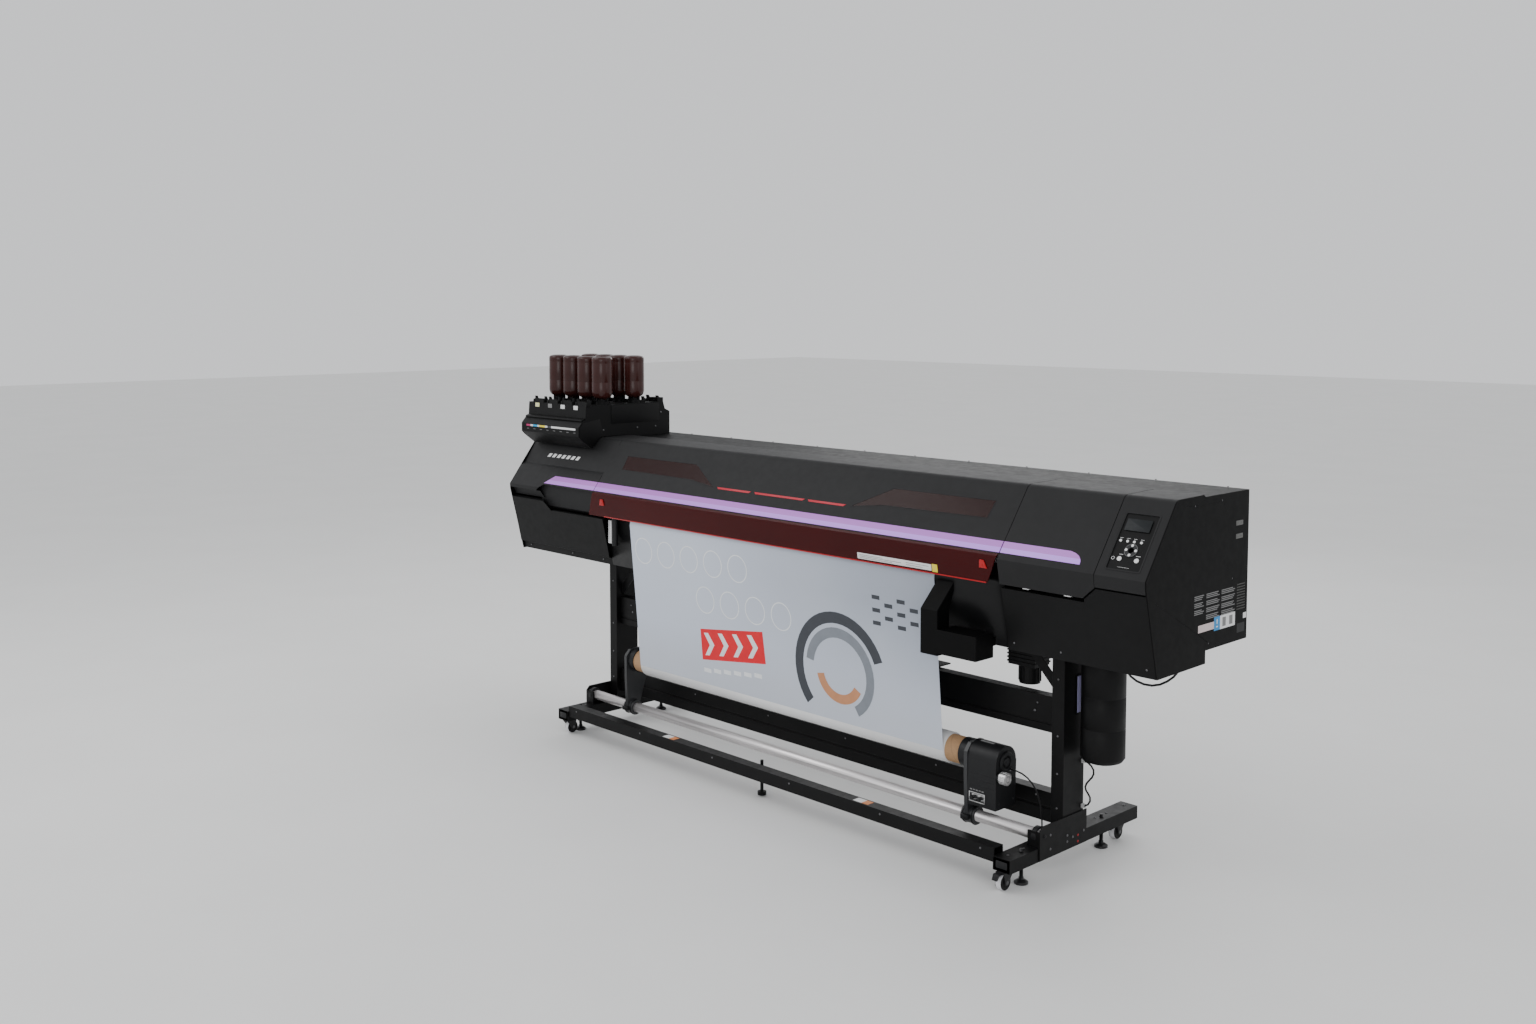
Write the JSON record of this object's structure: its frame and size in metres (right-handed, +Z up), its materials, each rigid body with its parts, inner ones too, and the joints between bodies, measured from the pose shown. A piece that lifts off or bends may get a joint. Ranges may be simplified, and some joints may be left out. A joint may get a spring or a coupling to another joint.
{
  "type": "wide-format roll printer cutter",
  "caption": "Floor-standing wide-format roll printer with a media cutter on its carriage, overhead ink bottles, a red-windowed front lid and a motorised take-up unit on a castor stand.",
  "frame": {"origin": "on the floor, midway between the side panels and midway along the feet", "axes": "+X to the operator's right along the machine's width, +Y to the back, +Z up"},
  "size_m": [3.12, 0.733, 1.546],
  "materials": {
    "black_steel": "fine powder coat, satin",
    "panel_steel": "powder coat, matte",
    "polished_tube": "ground and polished along its length",
    "castor_black": "black, satin",
    "wheel_rubber": "smooth black tread on a pale hub",
    "arm_grey": "grey satin",
    "motor_black": "fine texture, matte",
    "core_card": "spiral-wound cardboard under wound media",
    "knurled_silver": "machined",
    "printed_media": "printed film, satin",
    "white_media": "plain film, satin",
    "anodised": "dark anodised",
    "belt_rubber": "toothed belt",
    "charcoal_plastic": "fine texture, satin",
    "black_plastic": "fine texture, matte",
    "red_window": "dark red see-through acrylic",
    "key_white": "backlit white key",
    "key_black": "satin black rubber ring",
    "bottle_amber": "dark brown see-through plastic",
    "cable_black": "smooth black jacket"
  },
  "bodies": {
    "castor_fl": {"castor_fork_fl": "castor_black"},
    "wheel_fl": {"castor_wheel_fl": "wheel_rubber"},
    "leveller_fl": {"leveller_fl": "castor_black"},
    "castor_fr": {"castor_fork_fr": "castor_black"},
    "wheel_fr": {"castor_wheel_fr": "wheel_rubber"},
    "leveller_fr": {"leveller_fr": "castor_black"},
    "castor_bl": {"castor_fork_bl": "castor_black"},
    "wheel_bl": {"castor_wheel_bl": "wheel_rubber"},
    "leveller_bl": {"leveller_bl": "castor_black"},
    "castor_br": {"castor_fork_br": "castor_black"},
    "wheel_br": {"castor_wheel_br": "wheel_rubber"},
    "leveller_br": {"leveller_br": "castor_black"},
    "left_arm": {"takeup_arm_left": "arm_grey"},
    "left_chuck": {"chuck_left": "motor_black"},
    "winding": {"takeup_roll": "core_card", "chuck_right": "motor_black"},
    "tension_knob": {"tension_knob": "knurled_silver"},
    "takeup_switch": {"takeup_switch": "motor_black"},
    "supply": {"supply_roll": "white_media"},
    "print_carriage": {"carriage": "motor_black"},
    "cutter": {"cutter_holder": "knurled_silver"},
    "drive_pulley": {"drive_pulley": "knurled_silver"},
    "feed_roller": {"feed_roller": "knurled_silver"},
    "pinch_bar": {"pinch_bar": "anodised"},
    "lid": {"front_lid": "charcoal_plastic", "lid_window": "red_window"},
    "service_cover": {"right_front_cover": "charcoal_plastic"},
    "function_keys": {"function_keys": "key_white"},
    "jog_pad": {"jog_pad": "key_black"},
    "enter_key": {"enter_key": "key_white"},
    "power_key": {"power_key": "key_white"},
    "waste_tank": {"waste_tank": "black_plastic"},
    "machine": {"foot_left": "black_steel", "foot_right": "black_steel", "column_left": "black_steel", "column_right": "black_steel", "front_beam": "black_steel", "takeup_beam": "black_steel", "rear_beam": "black_steel", "takeup_tube": "polished_tube", "takeup_arm_right": "arm_grey", "takeup_motor": "motor_black", "media_web": "printed_media", "base_frame": "black_steel", "platen": "anodised", "y_rail": "anodised", "carriage_belt": "belt_rubber", "cap_station": "motor_black", "rear_cover": "panel_steel", "side_panel_left": "panel_steel", "side_panel_right": "panel_steel", "left_corner_cover": "charcoal_plastic", "left_lower_cover": "black_plastic", "right_lower_cover": "black_plastic", "panel_cover": "charcoal_plastic", "panel_display": "black_plastic", "ink_tower": "black_plastic", "ink_bottles": "bottle_amber", "front_arm": "panel_steel", "cables": "cable_black"}
  },
  "joints": [
    {"name": "castor_swivel_fl", "type": "hinge", "parent": "machine", "child": "castor_fl", "pos_m": [-1.112, -0.325, 0.05], "axis": [0, 0, 1], "continuous": true},
    {"name": "castor_roll_fl", "type": "hinge", "parent": "castor_fl", "child": "wheel_fl", "pos_m": [-1.112, -0.311, 0.0255], "axis": [1, 0, 0], "continuous": true},
    {"name": "level_fl", "type": "slide", "parent": "machine", "child": "leveller_fl", "axis": [0, 0, 1], "range_m": [0, 0.014]},
    {"name": "castor_swivel_fr", "type": "hinge", "parent": "machine", "child": "castor_fr", "pos_m": [1.112, -0.325, 0.05], "axis": [0, 0, 1], "continuous": true},
    {"name": "castor_roll_fr", "type": "hinge", "parent": "castor_fr", "child": "wheel_fr", "pos_m": [1.112, -0.339, 0.0255], "axis": [1, 0, 0], "continuous": true},
    {"name": "level_fr", "type": "slide", "parent": "machine", "child": "leveller_fr", "axis": [0, 0, 1], "range_m": [0, 0.014]},
    {"name": "castor_swivel_bl", "type": "hinge", "parent": "machine", "child": "castor_bl", "pos_m": [-1.112, 0.288, 0.05], "axis": [0, 0, 1], "continuous": true},
    {"name": "castor_roll_bl", "type": "hinge", "parent": "castor_bl", "child": "wheel_bl", "pos_m": [-1.098, 0.288, 0.0255], "axis": [0, 1, 0], "continuous": true},
    {"name": "level_bl", "type": "slide", "parent": "machine", "child": "leveller_bl", "axis": [0, 0, 1], "range_m": [0, 0.014]},
    {"name": "castor_swivel_br", "type": "hinge", "parent": "machine", "child": "castor_br", "pos_m": [1.112, 0.288, 0.05], "axis": [0, 0, 1], "continuous": true},
    {"name": "castor_roll_br", "type": "hinge", "parent": "castor_br", "child": "wheel_br", "pos_m": [1.112, 0.274, 0.0255], "axis": [1, 0, 0], "continuous": true},
    {"name": "level_br", "type": "slide", "parent": "machine", "child": "leveller_br", "axis": [0, 0, 1], "range_m": [0, 0.014]},
    {"name": "left_arm_slide", "type": "slide", "parent": "machine", "child": "left_arm", "axis": [1, 0, 0], "range_m": [-0.12, 0]},
    {"name": "left_chuck_spin", "type": "hinge", "parent": "left_arm", "child": "left_chuck", "pos_m": [-0.85, -0.163, 0.325], "axis": [1, 0, 0], "continuous": true},
    {"name": "winding_spin", "type": "hinge", "parent": "machine", "child": "winding", "pos_m": [0, -0.163, 0.325], "axis": [1, 0, 0], "continuous": true},
    {"name": "tension_knob_turn", "type": "hinge", "parent": "machine", "child": "tension_knob", "pos_m": [1.006, -0.198, 0.285], "axis": [1, 0, 0], "continuous": true},
    {"name": "takeup_switch_rock", "type": "hinge", "parent": "machine", "child": "takeup_switch", "pos_m": [0.914, -0.213, 0.205], "axis": [1, 0, 0], "range_deg": [-10, 10]},
    {"name": "supply_spin", "type": "hinge", "parent": "machine", "child": "supply", "pos_m": [0, 0.296, 0.69], "axis": [1, 0, 0], "continuous": true},
    {"name": "carriage_travel", "type": "slide", "parent": "machine", "child": "print_carriage", "axis": [1, 0, 0], "range_m": [-2.5, 0]},
    {"name": "cutter_drop", "type": "slide", "parent": "print_carriage", "child": "cutter", "axis": [0, 0, 1], "range_m": [-0.006, 0]},
    {"name": "drive_pulley_spin", "type": "hinge", "parent": "machine", "child": "drive_pulley", "pos_m": [1.45, 0.076, 1.145], "axis": [0, 1, 0], "continuous": true},
    {"name": "feed_roller_spin", "type": "hinge", "parent": "machine", "child": "feed_roller", "pos_m": [0, 0.085, 0.9216], "axis": [1, 0, 0], "continuous": true},
    {"name": "pinch_lift", "type": "hinge", "parent": "machine", "child": "pinch_bar", "pos_m": [0, 0.12, 0.975], "axis": [-1, 0, 0], "range_deg": [0, 5]},
    {"name": "lid_open", "type": "hinge", "parent": "machine", "child": "lid", "pos_m": [0.03, 0.018, 1.206], "axis": [-1, 0, 0], "range_deg": [0, 50]},
    {"name": "service_cover_open", "type": "hinge", "parent": "machine", "child": "service_cover", "pos_m": [1.217, 0.018, 1.206], "axis": [-1, 0, 0], "range_deg": [0, 50]},
    {"name": "function_keys_press", "type": "slide", "parent": "machine", "child": "function_keys", "axis": [0, -0.8004, 0.5994], "range_m": [-0.0012, 0], "stiffness_N_per_m": 400},
    {"name": "jog_pad_press", "type": "slide", "parent": "machine", "child": "jog_pad", "axis": [0, -0.8004, 0.5994], "range_m": [-0.0012, 0], "stiffness_N_per_m": 400},
    {"name": "enter_key_press", "type": "slide", "parent": "machine", "child": "enter_key", "axis": [0, -0.8004, 0.5994], "range_m": [-0.0012, 0], "stiffness_N_per_m": 400},
    {"name": "power_key_press", "type": "slide", "parent": "machine", "child": "power_key", "axis": [0, -0.8004, 0.5994], "range_m": [-0.0012, 0], "stiffness_N_per_m": 400},
    {"name": "tank_pull", "type": "slide", "parent": "machine", "child": "waste_tank", "axis": [1, 0, 0], "range_m": [0, 0.1]}
  ],
  "couplings": [
    {"joint": "drive_pulley_spin", "follows": "carriage_travel", "rad_per_m": 48},
    {"joint": "left_chuck_spin", "follows": "winding_spin", "ratio": 1}
  ]
}
